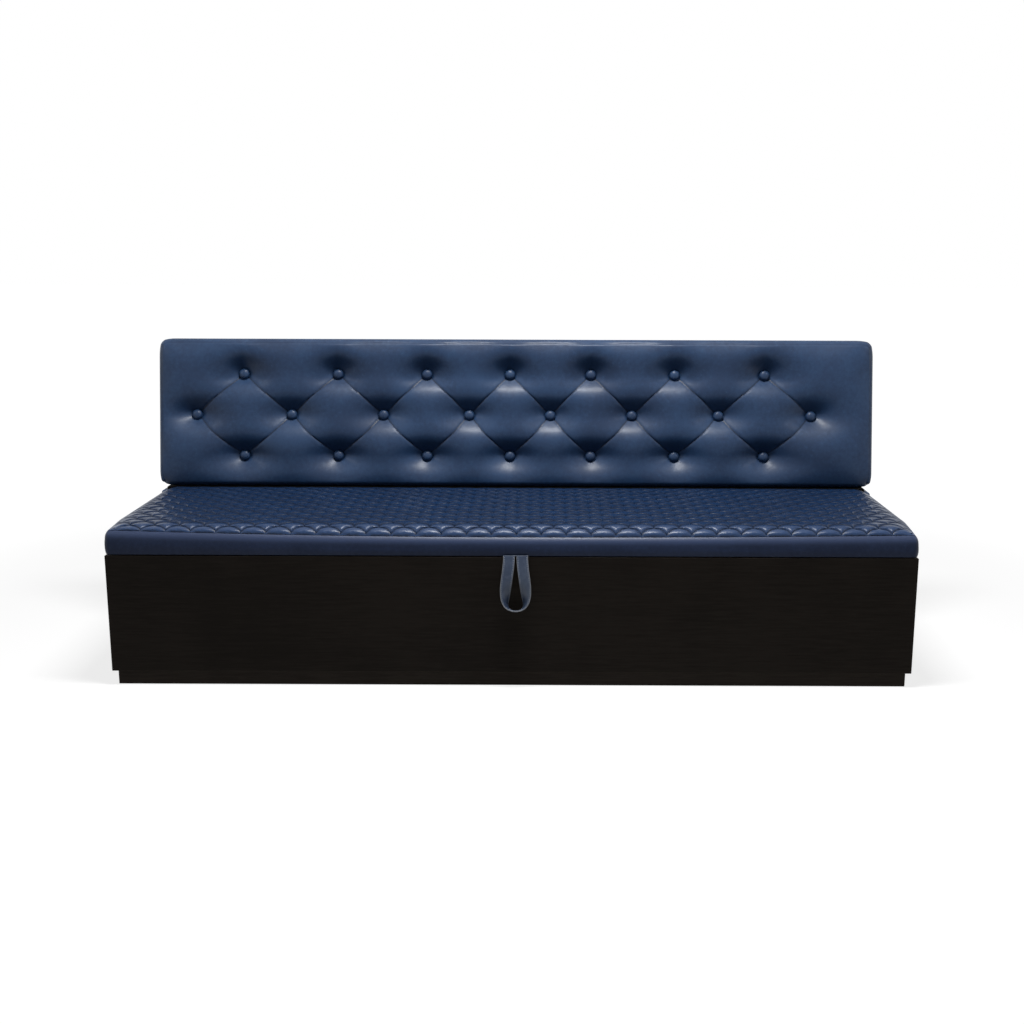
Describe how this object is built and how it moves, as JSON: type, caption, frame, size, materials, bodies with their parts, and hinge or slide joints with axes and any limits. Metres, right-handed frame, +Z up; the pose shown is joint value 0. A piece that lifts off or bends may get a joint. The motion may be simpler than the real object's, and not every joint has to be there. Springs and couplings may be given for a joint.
{
  "type": "waiting room sofa",
  "caption": "Storage bench sofa: dark box on a recessed plinth, hinged quilted leather seat lid with a pull strap, and a leaning back with diamond tufts and covered buttons.",
  "frame": {"origin": "on the floor, under the middle of the bench, at the underside of the plinth's middle rail", "axes": "+X along the bench to the sitter's left, seen from the front to the right; -Y is the front; +Z up"},
  "size_m": [2.008, 0.6956, 0.8237],
  "materials": {
    "leather": "worn semi-gloss navy",
    "laminate": "satin near-black laminate",
    "plywood": "raw",
    "foam": "matt",
    "cloth": "matt black lining cloth",
    "steel": "zinc plated",
    "black_steel": "black lacquer",
    "rubber": "matt"
  },
  "bodies": {
    "base": {"plinth_front_rail": "laminate", "plinth_rear_rail": "laminate", "plinth_left_rail": "laminate", "plinth_right_rail": "laminate", "plinth_centre_rail": "laminate", "bottom_panel": "laminate", "front_panel": "laminate", "left_side_panel": "laminate", "right_side_panel": "laminate", "rear_panel": "laminate", "centre_divider": "laminate", "hinge_rail": "laminate", "left_riser": "leather", "right_riser": "leather", "back_base_board": "laminate", "back_cover": "leather", "back_foam": "foam", "back_board": "plywood", "left_back_rib": "plywood", "centre_back_rib": "plywood", "right_back_rib": "plywood", "top_button_row": "leather", "middle_button_row": "leather", "bottom_button_row": "leather", "left_front_bumper": "rubber", "right_front_bumper": "rubber", "left_side_bumper": "rubber", "right_side_bumper": "rubber", "left_hinge_rail_leaf": "black_steel", "centre_hinge_rail_leaf": "black_steel", "right_hinge_rail_leaf": "black_steel", "left_hinge_pin": "black_steel", "centre_hinge_pin": "black_steel", "right_hinge_pin": "black_steel", "left_strut_box_bracket": "steel", "right_strut_box_bracket": "steel"},
    "lid": {"lid_board": "plywood", "hinge_batten": "plywood", "seat_foam": "foam", "seat_border": "leather", "seat_top": "leather", "lid_lining": "cloth", "strap_tab": "leather", "left_hinge_lid_leaf": "black_steel", "centre_hinge_lid_leaf": "black_steel", "right_hinge_lid_leaf": "black_steel", "left_strut_lid_bracket": "steel", "right_strut_lid_bracket": "steel"},
    "strap": {"pull_strap": "leather"},
    "left_cylinder": {"left_strut_cylinder": "black_steel"},
    "right_cylinder": {"right_strut_cylinder": "black_steel"},
    "left_rod": {"left_strut_rod": "steel"},
    "right_rod": {"right_strut_rod": "steel"}
  },
  "joints": [
    {"name": "lid_hinge", "type": "hinge", "parent": "base", "child": "lid", "pos_m": [0, 0.155, 0.4059], "axis": [-1, 0, 0], "range_deg": [0, 65]},
    {"name": "strap_swing", "type": "hinge", "parent": "lid", "child": "strap", "pos_m": [0.0104, -0.3335, 0.3374], "axis": [-1, 0, 0], "range_deg": [0, 85]},
    {"name": "left_cylinder_swing", "type": "hinge", "parent": "base", "child": "left_cylinder", "pos_m": [-0.965, 0.16792, 0.19901], "axis": [-1, 0, 0], "range_deg": [0, 32.5]},
    {"name": "right_cylinder_swing", "type": "hinge", "parent": "base", "child": "right_cylinder", "pos_m": [0.965, 0.16792, 0.19901], "axis": [-1, 0, 0], "range_deg": [0, 32.5]},
    {"name": "left_rod_swing", "type": "hinge", "parent": "lid", "child": "left_rod", "pos_m": [-0.965, -0.035, 0.323], "axis": [-1, 0, 0], "range_deg": [-32.5, 0]},
    {"name": "right_rod_swing", "type": "hinge", "parent": "lid", "child": "right_rod", "pos_m": [0.965, -0.035, 0.323], "axis": [-1, 0, 0], "range_deg": [-32.5, 0]}
  ],
  "couplings": [
    {"joint": "left_cylinder_swing", "follows": "lid_hinge", "ratio": 0.5},
    {"joint": "right_cylinder_swing", "follows": "lid_hinge", "ratio": 0.5},
    {"joint": "left_rod_swing", "follows": "lid_hinge", "ratio": -0.5},
    {"joint": "right_rod_swing", "follows": "lid_hinge", "ratio": -0.5}
  ]
}
